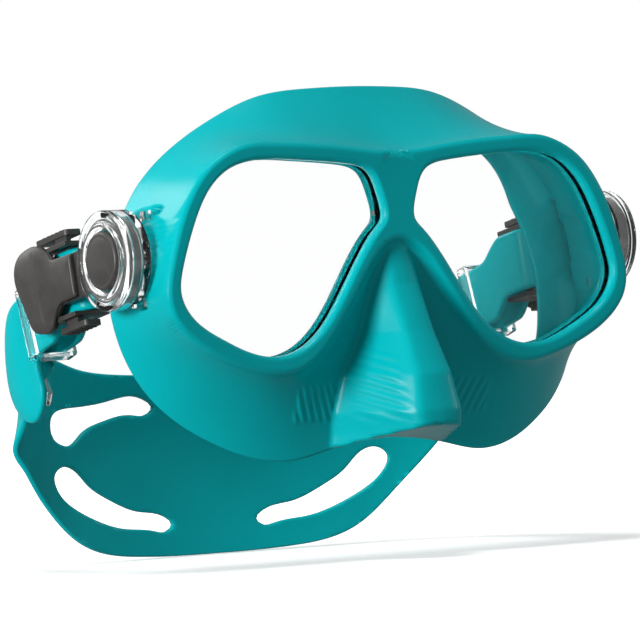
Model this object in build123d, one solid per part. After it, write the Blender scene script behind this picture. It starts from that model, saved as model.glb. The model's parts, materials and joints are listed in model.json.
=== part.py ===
from build123d import *
from math import cos, pi, sin, sqrt
import os

# A twin-lens low-volume diving mask with its head strap, in millimetres.
# Origin: middle of the strap swivel axis.  +X is the wearer's left, -Y the way the wearer looks, +Z up.
# Mask outlines are drawn from the middle of the lens plane, ahead of the origin and a little below it.

# ---------------------------------------------------------------- driving dimensions
SWIVEL_BEHIND_LENS = 15.0
SWIVEL_ABOVE_LENS = 2.0
LENS = Pos(0, -SWIVEL_BEHIND_LENS, -SWIVEL_ABOVE_LENS)

RIM_FRONT = -3.8  # y of the rim's front face, from the lens plane
RIM_BACK = 5.0
SKIRT_WALL = 2.6
LENS_THICK = 3.2
LENS_FRONT = -1.0
LENS_LAP = 1.6  # how far the glass reaches under the silicone
CORE_THICK = 1.2

FACE_RADIUS = 222.0  # the brow's curve in plan
FACE_TILT = 6.4
FACE_BROW_Y = 18.0
FACE_BROW_Z = 44.0
LIP_WIDTH = 8.0
LIP_THICK = 1.8

EAR_RADIUS = 10.4  # silicone pad that the side bracket sits on
EAR_FACE = 73.4
BASE_THICK = 1.6
WASHER_THICK = 0.4
EYE_THICK = 2.6
RING_GAP = 0.15
RING_THICK = 2.0
CUP_RADIUS = 13.0
FLANGE_RADIUS = 11.6
HUB_RADIUS = 8.3
CAP_RADIUS = 7.5
PIN_RADIUS = 0.9
SCREW_RADIUS = 1.6

HOOK_BACK = -5.0  # the bracket's two hooks and the pin through them
HOOK_UP = EAR_RADIUS + 1.0
HOOK_HALF = 1.1
HOOK_GAP = 0.2
PIN_OUT = 70.6
WINDOW_TOP = 85.0  # the gap in the cup's wall that the buckle's neck swings in, in degrees above level
WINDOW_BOTTOM = -64.0

DROOP = -10.5  # how far the buckles hang below level at rest
STRAP_DROOP = -18.0  # the strap sags a little further behind the roller
EYE_INNER = 8.38
EYE_OUTER = 11.2
NECK_HALF = 6.0
NECK_END = 32.0
CHEEK_IN = 8.7
CHEEK_OUT = 9.9
ROLLER_U = 25.0
ROLLER_T = 70.5
ROLLER_RADIUS = 2.3
ROLLER_PIN_RADIUS = 0.8
BUTTON_TRAVEL = 1.5
BUTTON_T = (72.0, 77.1)  # the squeeze buttons' pads and the stems that pass through the cheeks
BUTTON_U = {1: (21.0, 37.0), -1: (17.5, 31.0)}
STEM_T = (75.3, 76.7)
STEM_U = (21.6, 27.4)
STEM_GAP = 0.35

STRAP_THICK = 1.8
STRAP_HALF = 8.3
WRAP_INNER = 2.9
RUN_END = 38.0  # the strap's runs straight behind the roller, then the sagging ones
SAG_START = 36.5
BAND_STRAIGHT_END = 55.0
KEEPER_LENGTH = 4.0
KEEPER_WALL = 1.2
KEEPER_GAP = 0.5

BASE_BOTTOM = EAR_FACE + 0.02
BASE_TOP = BASE_BOTTOM + BASE_THICK
EYE_BOTTOM = BASE_TOP + WASHER_THICK + 0.05
EYE_TOP = EYE_BOTTOM + EYE_THICK
RING_BOTTOM = EYE_TOP + RING_GAP
RING_TOP = RING_BOTTOM + RING_THICK
PLATE_BOTTOM = EYE_TOP + 0.4
PLATE_TOP = PLATE_BOTTOM + 2.4

# Right halves of the outlines (x, z), seen from the front
OPENING = [
    (5.2, 9.0), (5.6, 15.5), (9.0, 22.3), (16, 24.4), (29, 25.6), (43, 26.0), (52, 23.8),
    (58, 18.8), (63.2, 9.5), (67, -1), (67.9, -7), (65, -13.3), (56, -19.6), (46.3, -23.8),
    (38, -24.6), (31.4, -22.5), (25, -17.5), (17.8, -7.8), (11, 2.4), (7, 7),
]
RIM_TOP = [
    (10, 28), (24, 29.6), (38, 30.4), (47, 30.1), (53, 28), (58.5, 24.4), (63.5, 18.5),
    (67.8, 10), (70.8, 0.5), (72.2, -7.5), (71, -13), (66.5, -18.5), (57, -24.3), (46, -28.2), (39, -29.4),
]
RIM_NOSE = [(32, -28.2), (26.4, -24.5), (19.5, -16.5), (12.8, -6.8), (7.4, 0.4), (3, 3.6)]
SEAL = [
    (13, 45), (27, 43.5), (41, 38), (53, 30), (62, 20.5), (69, 9.5), (73, -4), (72.6, -16),
    (69.2, -27.6), (62, -38), (52, -45.5), (40, -50.8), (29, -52), (19, -50),
]
# Right halves of the nose pocket's sections, from the top down
NOSE_ROOT = [(2.4, 5.0), (27, -27), (20, -48.5)]
NOSE_MIDDLE_Y = -6.0
NOSE_MIDDLE = [(3.6, -11), (11.5, -31), (12.4, -46.4)]
NOSE_TIP_Y = -18.3
NOSE_TIP = [(4.6, -37.5), (6.2, -41), (6.4, -44.6)]
# Strap arm, from the sagging run to the back panel: (out, back, up, half width, lean of the width)
ARM = [
    (68.6, 72.5, -22.5, 8.8, 42), (66.8, 79.5, -31.0, 8.8, 42), (62.5, 84.8, -38.0, 14.0, 22),
    (54.0, 89.3, -43.5, 20.5, 6), (45.0, 91.5, -49.3, 23.4, 2), (25.0, 94.5, -53.2, 24.8, 0),
    (0.0, 96.0, -54.0, 24.6, 0),
]
KEEPER_STATION = 0  # the straight stretch of the arm that holds the second keeper
# The buckle's hammerhead plate (along the buckle, across it)
PLATE = [
    (17.5, 5.4), (22, 5.8), (26.9, 6.4), (30, 9.4), (33, 11.2), (38, 11.4), (43, 10.2), (45.6, 7.6), (46.1, 4),
    (44.7, -0.2), (42.5, -5.5), (40, -10), (37, -11.4), (31, -11.4), (28.6, -8.5), (25.4, -5.8), (17.5, -5.4),
]
# Pull tab at the tail's end (along the sagging strap, across it)
LEAF = [
    (54.5, 8.3), (58, 7.2), (62.5, 2), (65.5, -6), (66.3, -14), (63, -21.5), (57.5, -24.5), (52.5, -22),
    (50.2, -16.5), (51.5, -12.2), (54.5, -10.5), (54.5, -8.3),
]
SLOT_UPPER = [
    (18.3, -37.6), (20, -35.8), (33, -35.0), (46, -36.3), (54.5, -38.8), (54.7, -43), (51, -46),
    (47.5, -46.4), (43.5, -43.6), (35, -40.4), (26, -39.2), (20, -39.2),
]
SLOT_LOWER = [
    (13.6, -69.8), (15.2, -68), (24.4, -65.8), (34.5, -61.9), (41.8, -57.4), (46, -53.4),
    (52, -52.4), (54.2, -54.6), (53, -58.5), (47, -63.6), (40, -67), (30, -70), (20, -71.2), (15, -71.4),
]


# ---------------------------------------------------------------- helpers
def at_y(points, y, grow=0.0):
    """A face in the plane y, bounded by one smooth closed curve through (x, z) points, grown outwards."""
    count = len(points)
    area = sum(points[i - 1][0] * points[i][1] - points[i][0] * points[i - 1][1] for i in range(count))
    side = 1 if area > 0 else -1
    moved = []
    for i, (x, z) in enumerate(points):
        before, after = points[i - 1], points[(i + 1) % count]
        dx, dz = after[0] - before[0], after[1] - before[1]
        length = sqrt(dx * dx + dz * dz)
        moved.append(Vector(x + side * grow * dz / length, y, z - side * grow * dx / length))
    return Face(Wire([Edge.make_spline(moved, periodic=True)]))


def both_halves(half, top=None, bottom=None):
    """A whole outline from its right half, with optional points on the middle line."""
    left = [(-x, z) for x, z in reversed(half)]
    return ([top] if top else []) + half + ([bottom] if bottom else []) + left


def along_y(face, length):
    return extrude(face, amount=length, dir=(0, 1, 0))


def mirror_x(shape):
    return mirror(shape, about=Plane.YZ)


def outward_cylinder(radius, start, end, back=0.0, up=0.0):
    """A cylinder along X on the wearer's left."""
    return Pos(start, back, up) * Rot(0, 90, 0) * Cylinder(
        radius, end - start, align=(Align.CENTER, Align.CENTER, Align.MIN)
    )


def outward_ring(inner, outer, start, end):
    return outward_cylinder(outer, start, end) - outward_cylinder(inner, start - 1, end + 1)


def block(out, back, up):
    """A box from three (low, high) pairs."""
    size = [high - low for low, high in (out, back, up)]
    middle = [(high + low) / 2 for low, high in (out, back, up)]
    return Pos(*middle) * Box(*size)


def outward_plate(points, start, end):
    """A plate of (back, up) points, from start to end along X."""
    wire = Wire.make_polygon([Vector(start, y, z) for y, z in points])
    return extrude(Face(wire), amount=end - start, dir=(1, 0, 0))


def drooped(shape):
    return Rot(DROOP, 0, 0) * shape


def sagging(shape):
    return Rot(STRAP_DROOP, 0, 0) * shape


def one_solid(shape):
    """The part as a single solid, without loose crumbs."""
    return max(shape.solids(), key=lambda solid: solid.volume)


# ---------------------------------------------------------------- mask body
SEAL_OUTLINE = both_halves(SEAL, (0, 45.3), (0, -47.5))


def head_form(radius):
    """The wearer's brow and cheeks, as an upright drum that leans back."""
    drum = Cylinder(radius, 600)
    return Pos(0, FACE_BROW_Y, FACE_BROW_Z) * Rot(-FACE_TILT, 0, 0) * Pos(0, FACE_RADIUS, 0) * drum


def flank(grow, front, knee):
    """The skirt's side wall as a solid: it widens from the rim to the seal and then runs straight back."""
    rim = both_halves(RIM_TOP, (0, 27.2), (0, -30))
    seal = polygon_at_y(SEAL_OUTLINE, knee, grow)
    return loft([polygon_at_y(rim, front, grow), seal], ruled=True) + along_y(seal, 45 - knee)


def polygon_at_y(points, y, grow, count=32):
    """The outline as a face with evenly spaced corners, so that two outlines join corner to corner."""
    edge = at_y(points, y, grow).outer_wire()
    corners = [edge.position_at(i / count) for i in range(count)]
    return Face(Wire.make_polygon(corners))


def nose(grow, back):
    """The nose pocket as a solid wedge: a section at the face, one half way out and one at the flat tip."""
    sections = [(back, NOSE_ROOT), (NOSE_MIDDLE_Y, NOSE_MIDDLE), (NOSE_TIP_Y - grow, NOSE_TIP)]
    faces = []
    for y, half in sections:
        right = [(x + 0.8 * grow, z + up * grow) for (x, z), up in zip(half, (1, 0, -1))]
        outline = right + [(-x, z) for x, z in reversed(right)]
        faces.append(Face(Wire.make_polygon([Vector(x, y, z) for x, z in outline])))
    return loft(faces, ruled=True)


def lens(side):
    points = [(side * x, z) for x, z in OPENING]
    return along_y(at_y(points, LENS_FRONT, LENS_LAP), LENS_THICK)


def opening(side, start, end):
    points = [(side * x, z) for x, z in OPENING]
    return along_y(at_y(points, start), end - start)


def core_plate():
    outline = both_halves(RIM_TOP + RIM_NOSE, (0, 27.2), (0, 4.2))
    start = LENS_FRONT + LENS_THICK
    plate = along_y(at_y(outline, start, -2.4), CORE_THICK)
    for side in (1, -1):
        hole = along_y(at_y([(side * x, z) for x, z in OPENING], start - 1, 0.4), CORE_THICK + 2)
        plate = plate - hole
    return one_solid(plate)


def skirt(core, lenses, side_holes):
    rim_outline = both_halves(RIM_TOP + RIM_NOSE, (0, 27.2), (0, 4.2))
    rim = along_y(at_y(rim_outline, RIM_FRONT), RIM_BACK - RIM_FRONT)
    outer = flank(0, 0.5, 10) + nose(0, 8)
    inner = flank(-SKIRT_WALL, 4.0, 12) + nose(-2.2, 14)
    for side in (1, -1):
        ear = outward_cylinder(EAR_RADIUS, 60, EAR_FACE, SWIVEL_BEHIND_LENS, SWIVEL_ABOVE_LENS)
        outer = outer + (ear if side > 0 else mirror_x(ear))
    shell = (outer - inner) + (rim - nose(-2.2, 14))
    lip = along_y(polygon_at_y(SEAL_OUTLINE, 0, -0.6), 45)
    lip = lip - along_y(polygon_at_y(SEAL_OUTLINE, -1, -LIP_WIDTH), 47)
    lip = lip & head_form(FACE_RADIUS + LIP_THICK)
    shell = (shell + lip) - head_form(FACE_RADIUS)
    for side in (1, -1):
        shell = shell - opening(side, -20, 20)
    for piece in [core, *lenses, *side_holes]:
        shell = shell - piece
    return one_solid(shell)


# ---------------------------------------------------------------- side bracket, on the wearer's left
def hook(up, gap, top):
    """One hook of the bracket, or with a gap the room that it takes in the skirt."""
    half = HOOK_HALF + gap
    return block((PIN_OUT - 2 - gap, top), (HOOK_BACK - half, HOOK_BACK + half), (up - half, up + half))


def side_bracket():
    base = outward_cylinder(FLANGE_RADIUS, BASE_BOTTOM, BASE_TOP)
    hub = outward_cylinder(HUB_RADIUS, BASE_TOP, RING_BOTTOM + 0.6)
    wall = outward_ring(FLANGE_RADIUS, CUP_RADIUS, BASE_BOTTOM, RING_BOTTOM)
    reach = 2 * CUP_RADIUS
    rays = [(reach * cos(a * pi / 180), reach * sin(a * pi / 180)) for a in (WINDOW_BOTTOM, 0, WINDOW_TOP)]
    window = outward_plate([(0, 0), *rays], BASE_BOTTOM - 1, RING_TOP + 1)
    body = base + hub + (wall - window)
    for up in (HOOK_UP, -HOOK_UP):
        body = body + hook(up, 0, BASE_TOP)
    body = body - bracket_pin()
    return one_solid(body - swivel_screw())


def bracket_pin():
    """The upright pin that holds the bracket's two hooks to the skirt's ear."""
    length = 2 * (HOOK_UP + 0.8)
    return Pos(PIN_OUT, HOOK_BACK, 0) * Cylinder(PIN_RADIUS, length)


def swivel_ring():
    ring = outward_ring(HUB_RADIUS + 0.15, CUP_RADIUS, RING_BOTTOM, RING_TOP)
    edges = ring.edges().filter_by(GeomType.CIRCLE).group_by(Axis.X)[-1]
    return one_solid(fillet(edges, 0.6))


def swivel_cap():
    start = RING_BOTTOM + 0.6
    cap = outward_cylinder(CAP_RADIUS, start, RING_TOP + 0.9)
    edges = cap.edges().filter_by(GeomType.CIRCLE).group_by(Axis.X)[-1]
    return one_solid(fillet(edges, 0.8) - swivel_screw())


def swivel_screw():
    head = outward_cylinder(3.0, RING_BOTTOM - 1.4, RING_BOTTOM + 0.6)
    shank = outward_cylinder(SCREW_RADIUS, BASE_BOTTOM, RING_BOTTOM - 1.4)
    socket = outward_cylinder(1.2, RING_BOTTOM - 0.6, RING_BOTTOM + 1)
    return one_solid(head + shank - socket)


def wave_washer():
    return one_solid(outward_ring(HUB_RADIUS + 0.2, EYE_OUTER - 0.4, BASE_TOP, BASE_TOP + WASHER_THICK))


# ---------------------------------------------------------------- buckle, drawn level
def buckle_body():
    eye = outward_ring(EYE_INNER, EYE_OUTER, EYE_BOTTOM, EYE_TOP)
    neck = block((EYE_BOTTOM, EYE_TOP), (9.4, NECK_END), (-NECK_HALF, NECK_HALF))
    neck = neck - outward_cylinder(EYE_INNER, EYE_BOTTOM - 1, EYE_TOP + 1)
    plate = outward_plate(PLATE, EYE_TOP - 0.6, PLATE_TOP)
    rim_edges = plate.edges().filter_by(GeomType.LINE).group_by(Axis.X)[-1]
    plate = chamfer(rim_edges, 0.8)
    body = eye + neck + plate
    for side in (1, -1):
        low, high = sorted((side * CHEEK_IN, side * CHEEK_OUT))
        body = body + block((ROLLER_T - 3, EYE_TOP), (20.5, 34), (low, high))
        body = body - button_room(side)
    return one_solid(body - roller_pin())


def button_room(side):
    low, high = sorted((side * (CHEEK_IN - 2), side * (CHEEK_OUT + 2)))
    out = (STEM_T[0] - STEM_GAP, STEM_T[1] + STEM_GAP)
    return block(out, (STEM_U[0] - STEM_GAP, STEM_U[1] + STEM_GAP), (low, high))


def side_button(side):
    """A squeeze button: a ribbed pad outside the cheek, on a stem that reaches through it."""
    pad_in = CHEEK_OUT + BUTTON_TRAVEL + 0.2
    low, high = sorted((side * pad_in, side * (pad_in + 1.5)))
    pad = block(BUTTON_T, BUTTON_U[side], (low, high))
    pad = fillet(pad.edges().filter_by(Axis.Z), 1.2)
    low, high = sorted((side * (CHEEK_IN + 0.2), side * (pad_in + 0.4)))
    stem = block(STEM_T, STEM_U, (low, high))
    button = pad + stem
    for i in range(5):
        rib = Rot(0, 90, 0) * Cylinder(0.35, BUTTON_T[1] - BUTTON_T[0] - 1.2)
        along = sum(BUTTON_U[side]) / 2 + 2.2 * (i - 2)
        button = button + Pos(sum(BUTTON_T) / 2, along, side * (pad_in + 1.5)) * rib
    return one_solid(button)


def roller_pin():
    return Pos(ROLLER_T, ROLLER_U, 0) * Cylinder(ROLLER_PIN_RADIUS, 2 * CHEEK_OUT)


def strap_roller():
    roller = Pos(ROLLER_T, ROLLER_U, 0) * Cylinder(ROLLER_RADIUS - 0.25, 2 * STRAP_HALF + 0.4)
    for i in range(10):
        turn = Pos(ROLLER_T, ROLLER_U, 0) * Rot(0, 0, 36 * i)
        roller = roller + turn * Pos(ROLLER_RADIUS - 0.3, 0, 0) * Cylinder(0.3, 2 * STRAP_HALF)
    bore = Pos(ROLLER_T, ROLLER_U, 0) * Cylinder(ROLLER_PIN_RADIUS + 0.06, 40)
    return one_solid(roller - bore)


# ---------------------------------------------------------------- strap, keepers
def strap_wrap():
    """The stretch round the roller, the band's inner run and the tail with its leaf-shaped pull tab."""
    outer = Pos(ROLLER_T, ROLLER_U, 0) * Cylinder(WRAP_INNER + STRAP_THICK, 2 * STRAP_HALF)
    inner = Pos(ROLLER_T, ROLLER_U, 0) * Cylinder(WRAP_INNER, 40)
    turn = outer - inner - block((60, 80), (ROLLER_U, ROLLER_U + 10), (-20, 20))
    low = ROLLER_T - WRAP_INNER - STRAP_THICK
    high = ROLLER_T + WRAP_INNER
    width = (-STRAP_HALF, STRAP_HALF)
    for start in (low, high):
        turn = turn + block((start, start + STRAP_THICK), (ROLLER_U - 0.01, RUN_END), width)
    run = block((low, low + STRAP_THICK), (SAG_START, BAND_STRAIGHT_END), width)
    tail = [(SAG_START, STRAP_HALF), *LEAF, (SAG_START, -STRAP_HALF)]
    return drooped(turn) + sagging(run) + sagging(outward_plate(tail, high, high + STRAP_THICK))


def arm_sections():
    """Rectangles across the band, from the end of its straight run to the middle of the back panel."""
    start = sagging(Pos(ROLLER_T - WRAP_INNER - STRAP_THICK / 2, BAND_STRAIGHT_END - 0.5, 0))
    first = (start.position.X, start.position.Y, start.position.Z, STRAP_HALF, -STRAP_DROOP)
    rest = [(t, y - SWIVEL_BEHIND_LENS, z - SWIVEL_ABOVE_LENS, h, lean) for t, y, z, h, lean in ARM]
    return [first] + rest


def section_axes(stations, i):
    """Middle, width direction and thickness direction of one section across the band."""
    t, y, z, half, lean = stations[i]
    before = stations[max(i - 1, 0)]
    after = stations[min(i + 1, len(stations) - 1)]
    if i == len(stations) - 1:
        dx, dy = -1.0, 0.0
    elif i == 0:
        dx, dy = 0.0, 1.0
    else:
        dx, dy = after[0] - before[0], after[1] - before[1]
    length = sqrt(dx * dx + dy * dy)
    dx, dy = dx / length, dy / length
    tilt = lean * pi / 180
    width = Vector(sin(tilt) * dx, sin(tilt) * dy, cos(tilt))
    return Vector(t, y, z), width, Vector(dy, -dx, 0)


def band_section(stations, i):
    middle, width, thick = section_axes(stations, i)
    w, n = width * stations[i][3], thick * (STRAP_THICK / 2)
    return Face(Wire.make_polygon([middle + w + n, middle + w - n, middle - w - n, middle - w + n]))


def strap():
    stations = arm_sections()
    arm = None
    for i in range(len(stations) - 1):
        stretch = loft([band_section(stations, i), band_section(stations, i + 1)], ruled=True)
        arm = stretch if arm is None else arm + stretch
    half = arm + strap_wrap()
    for points in (SLOT_UPPER, SLOT_LOWER):
        slot = along_y(at_y([(x, z - SWIVEL_ABOVE_LENS) for x, z in points], 60), 40)
        half = half - slot
    return one_solid(half + mirror_x(half))


def buckle_keeper():
    """The clear loop behind the buckle that holds the tail to the band."""
    low = ROLLER_T - WRAP_INNER - STRAP_THICK - KEEPER_GAP
    high = ROLLER_T + WRAP_INNER + STRAP_THICK + KEEPER_GAP
    back = (46.6, 46.6 + KEEPER_LENGTH)
    wide = STRAP_HALF + KEEPER_GAP
    outer = block((low - KEEPER_WALL, high + KEEPER_WALL), back, (-wide - KEEPER_WALL, wide + KEEPER_WALL))
    outer = fillet(outer.edges().filter_by(Axis.Y), 1.0)
    return one_solid(outer - block((low, high), (40, 60), (-wide, wide)))


def arm_keeper():
    """The clear loop on the band's steep stretch."""
    stations = arm_sections()
    low, high = stations[1 + KEEPER_STATION], stations[2 + KEEPER_STATION]
    a, b = Vector(*low[:3]), Vector(*high[:3])
    _, wide_a, thick_a = section_axes(stations, 1 + KEEPER_STATION)
    _, wide_b, thick_b = section_axes(stations, 2 + KEEPER_STATION)
    place = Plane(origin=(a + b) / 2, x_dir=(thick_a + thick_b), z_dir=(b - a))
    half = low[3] + KEEPER_GAP
    thick = STRAP_THICK / 2 + 3 * KEEPER_GAP
    outer = Box(2 * (thick + KEEPER_WALL), 2 * (half + KEEPER_WALL), KEEPER_LENGTH)
    ring = fillet(outer.edges().filter_by(Axis.Z), 1.0) - Box(2 * thick, 2 * half, 3 * KEEPER_LENGTH)
    return one_solid(place * ring)


# ---------------------------------------------------------------- write the nodes
def write(name, shape):
    shape.label = name
    export_step(shape, f"parts/{name}.step")


os.makedirs("parts", exist_ok=True)

lens_left, lens_right = LENS * lens(1), LENS * lens(-1)
core = LENS * core_plate()
bracket = side_bracket()
hooks = [hook(up, HOOK_GAP, EAR_FACE + 1) for up in (HOOK_UP, -HOOK_UP)]
left_holes = [*hooks, bracket_pin(), outward_cylinder(FLANGE_RADIUS + 1.5, BASE_BOTTOM, BASE_BOTTOM + 9)]
all_holes = left_holes + [mirror_x(hole) for hole in left_holes]
body = skirt(
    LENS.inverse() * core,
    [LENS.inverse() * lens_left, LENS.inverse() * lens_right],
    [LENS.inverse() * hole for hole in all_holes],
)
write("skirt", LENS * body)
write("core_plate", core)
write("left_lens", lens_left)
write("right_lens", lens_right)
write("strap", strap())

side_pieces = {
    "side_bracket": bracket,
    "bracket_pin": bracket_pin(),
    "swivel_ring": swivel_ring(),
    "swivel_cap": swivel_cap(),
    "swivel_screw": swivel_screw(),
    "swivel_washer": wave_washer(),
    "buckle_body": drooped(buckle_body()),
    "roller_pin": drooped(roller_pin()),
    "strap_roller": drooped(strap_roller()),
    "upper_button": drooped(side_button(1)),
    "lower_button": drooped(side_button(-1)),
    "buckle_keeper": sagging(buckle_keeper()),
    "band_keeper": arm_keeper(),
}
for name, shape in side_pieces.items():
    write(f"left_{name}", shape)
    write(f"right_{name}", mirror_x(shape))
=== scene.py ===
import json
import math

import bmesh
import bpy
import numpy as np
from mathutils import Matrix, Vector


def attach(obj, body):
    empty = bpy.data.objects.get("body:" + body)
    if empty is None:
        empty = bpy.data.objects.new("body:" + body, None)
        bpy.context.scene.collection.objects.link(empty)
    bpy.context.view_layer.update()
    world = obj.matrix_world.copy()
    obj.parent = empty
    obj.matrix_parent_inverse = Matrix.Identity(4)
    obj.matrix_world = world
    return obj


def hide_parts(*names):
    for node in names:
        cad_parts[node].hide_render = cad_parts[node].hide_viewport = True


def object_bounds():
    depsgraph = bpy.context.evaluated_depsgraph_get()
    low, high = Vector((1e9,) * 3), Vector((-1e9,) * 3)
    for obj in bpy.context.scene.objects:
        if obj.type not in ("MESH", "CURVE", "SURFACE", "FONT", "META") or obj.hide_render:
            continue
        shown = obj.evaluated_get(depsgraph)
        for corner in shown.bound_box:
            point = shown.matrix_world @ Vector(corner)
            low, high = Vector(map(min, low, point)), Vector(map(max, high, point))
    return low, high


# A twin-lens diving mask. The soft skirt and strap, the buckles' covers, the rings and the caps are modelled
# here, and the other hard pieces are CAD pieces, most of them with their edges rounded.
# Outlines are in millimetres, (x, z) seen from the front, from the middle of the lens plane.

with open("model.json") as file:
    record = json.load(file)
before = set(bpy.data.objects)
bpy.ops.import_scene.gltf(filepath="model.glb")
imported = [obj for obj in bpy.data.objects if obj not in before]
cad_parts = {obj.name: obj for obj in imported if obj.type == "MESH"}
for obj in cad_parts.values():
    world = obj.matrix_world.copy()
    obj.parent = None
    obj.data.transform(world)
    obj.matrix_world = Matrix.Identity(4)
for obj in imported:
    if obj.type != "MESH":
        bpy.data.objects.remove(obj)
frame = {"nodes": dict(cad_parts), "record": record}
cad_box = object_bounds()

MM = 0.001
SWIVEL_BEHIND_LENS = 15.0
SWIVEL_ABOVE_LENS = 2.0
SIDES = {"left": 1, "right": -1}

# ---------------------------------------------------------------- driving dimensions
EYE = (36.0, 1.0)  # the point that the skirt's sections fan out from
RIM_CREST = -3.8
RIM_EDGE = -3.0
GLASS_FRONT = -1.02
GLASS_BACK = 2.22
GROOVE = 1.65
SKIRT_BACK_OF_RIM = 5.0
WALL = 2.2
FLARE = 0.65
FACE_BROW_Y = 18.0
FACE_CURVE = 12.0 / 73.0**2
FACE_LEAN = 0.113
FACE_BROW_Z = 44.0
EAR_RADIUS = 10.4
EAR_FACE = 73.25
HOOK_Y = 10.0
HOOK_UP = 11.4
HOOK_INSIDE = 69.3
HOOK_SLOT_DEPTH = 2.6

OPENING = [
    (5.2, 9.0), (5.6, 15.5), (9.0, 22.3), (16, 24.4), (29, 25.6), (43, 26.0), (52, 23.8),
    (58, 18.8), (63.2, 9.5), (67, -1), (67.9, -7), (65, -13.3), (56, -19.6), (46.3, -23.8),
    (38, -24.6), (31.4, -22.5), (25, -17.5), (17.8, -7.8), (11, 2.4), (7, 7),
]
RIM = [
    (10, 28), (24, 29.6), (38, 30.4), (47, 30.1), (53, 28), (58.5, 24.4), (63.5, 18.5),
    (67.8, 10), (70.8, 0.5), (72.2, -7.5), (71, -13), (66.5, -18.5), (57, -24.3), (46, -28.2), (39, -29.4),
    (32, -28.2), (26.4, -24.5), (19.5, -16.5), (12.8, -6.8), (7.4, 0.4), (3, 3.6),
]
RIM_TOP_Z = 27.2
RIM_NOSE_Z = 4.2
SEAL = [
    (13, 45), (27, 43.5), (41, 38), (53.4, 30.4), (62.8, 21.3), (69.2, 9.8), (73, -4), (72.6, -16),
    (69.2, -27.6), (62, -38), (52, -45.5), (40, -50.8), (29, -52), (19, -50),
]
SEAL_TOP_Z = 45.3
SEAL_LOW_Z = -47.5

# Nose pocket: (z, ridge y, half width of the flat front strip, slope of the flanks)
NOSE = [
    (16, 40.0, 1.0, 1.1), (8, 4.0, 1.0, 1.1),
    (4.4, -1.0, 2.2, 1.1), (0, -2.6, 3.2, 1.15), (-7.4, -4.6, 4.1, 1.3), (-20, -10.4, 4.7, 1.95),
    (-31, -16.2, 5.5, 1.7), (-40.5, -18.4, 6.8, 1.9), (-46, -18.4, 6.4, 2.0),
]
NOSE_UNDERSIDE = 8.5
# Double lip behind the seal edge: (inward, back)
LIP = [
    (0.25, 0.6), (0.8, 0.95), (1.8, 1.1), (3, 1.1), (6, 0.9), (9, 0.3), (12.2, -0.7), (13.2, -1.3),
    (13.1, -1.9), (12.2, -1.9), (9, -1.1), (7, -0.9), (5.4, -1.1), (4.2, -1.9), (3.4, -3.0),
]
LIP_ROOT = (2.4, -4.2)
LIP_TIP = 8  # the first of these points on the lip's front side
LIP_CLEAR_BACK = 3.6  # how far the lip stays behind the skirt's front surface
LIP_CLEAR_FRONT = 2.4
LIP_FULL_PLACE = 3.0  # points further inward than this follow the lip's changing width

# Grip ribs: slant in degrees, distance from one to the next, and height
NOSE_RIB = (35, 2.4, 0.22)
CHEEK_RIB = (24, 2.2, 0.4)


# ---------------------------------------------------------------- curves
def spline(points, per_span, closed):
    """A cubic spline through the points, as an array of evenly stepped positions."""
    p = np.array(points, float)
    n = len(p)
    spans = n if closed else n - 1
    step = np.linalg.norm(np.roll(p, -1, 0) - p, axis=1)[:spans]
    rows = np.zeros((n, n))
    right = np.zeros((n, p.shape[1]))
    for i in range(n):
        if not closed and i in (0, n - 1):
            rows[i, i] = 1
            continue
        a, b = step[i - 1], step[i % spans]
        rows[i, i - 1] += a
        rows[i, i] += 2 * (a + b)
        rows[i, (i + 1) % n] += b
        right[i] = 6 * ((p[(i + 1) % n] - p[i]) / b - (p[i] - p[i - 1]) / a)
    bend = np.linalg.solve(rows, right)
    out = []
    for i in range(spans):
        h, q, m, k = step[i], p[(i + 1) % n], bend[i], bend[(i + 1) % n]
        for u in np.arange(per_span) / per_span:
            x, w = u * h, (1 - u) * h
            out.append(
                (m * w**3 + k * x**3) / (6 * h) + (p[i] / h - m * h / 6) * w + (q / h - k * h / 6) * x
            )
    if not closed:
        out.append(p[-1])
    return np.array(out)


def whole(half, top_z, low_z):
    """The closed outline of both halves."""
    return [(0, top_z)] + half + [(0, low_z)] + [(-x, z) for x, z in reversed(half)]


def signed_distance(xz, loop):
    """Distance of each point to a closed outline, negative inside it."""
    a = loop
    d = np.roll(loop, -1, 0) - loop
    area = np.sum(a[:, 0] * np.roll(a[:, 1], -1) - np.roll(a[:, 0], -1) * a[:, 1])
    turn = 1 if area > 0 else -1
    flat = xz.reshape(-1, 2)
    result = np.empty(len(flat))
    for start in range(0, len(flat), 4000):
        q = flat[start:start + 4000, None, :] - a[None]
        t = np.clip((q * d).sum(2) / (d * d).sum(1), 0, 1)
        gap = q - t[..., None] * d
        far = (gap**2).sum(2)
        near = far.argmin(1)
        pick = np.arange(len(near))
        cross = d[near, 0] * q[pick, near, 1] - d[near, 1] * q[pick, near, 0]
        result[start:start + 4000] = np.sqrt(far[pick, near]) * np.where(cross * turn > 0, -1, 1)
    return result.reshape(xz.shape[:-1])


def ray_hits(angles, loop):
    """Distance from EYE to the outline along each direction."""
    c = np.array(EYE)
    a = loop - c
    e = np.roll(loop, -1, 0) - loop
    hits = []
    for angle in angles:
        d = np.array([math.cos(angle), math.sin(angle)])
        den = d[0] * e[:, 1] - d[1] * e[:, 0]
        den = np.where(abs(den) < 1e-12, 1e-12, den)
        s = (a[:, 0] * e[:, 1] - a[:, 1] * e[:, 0]) / den
        t = (a[:, 0] * d[1] - a[:, 1] * d[0]) / den
        ok = (s > 0) & (t >= -1e-9) & (t <= 1 + 1e-9)
        hits.append(s[ok].min() if ok.any() else np.inf)
    return np.array(hits)


def smoothstep(x, low, high):
    t = np.clip((x - low) / (high - low), 0, 1)
    return t * t * (3 - 2 * t)


def soft_min(a, b, width):
    h = np.clip(0.5 + 0.5 * (b - a) / width, 0, 1)
    return b + (a - b) * h - width * h * (1 - h)


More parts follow.
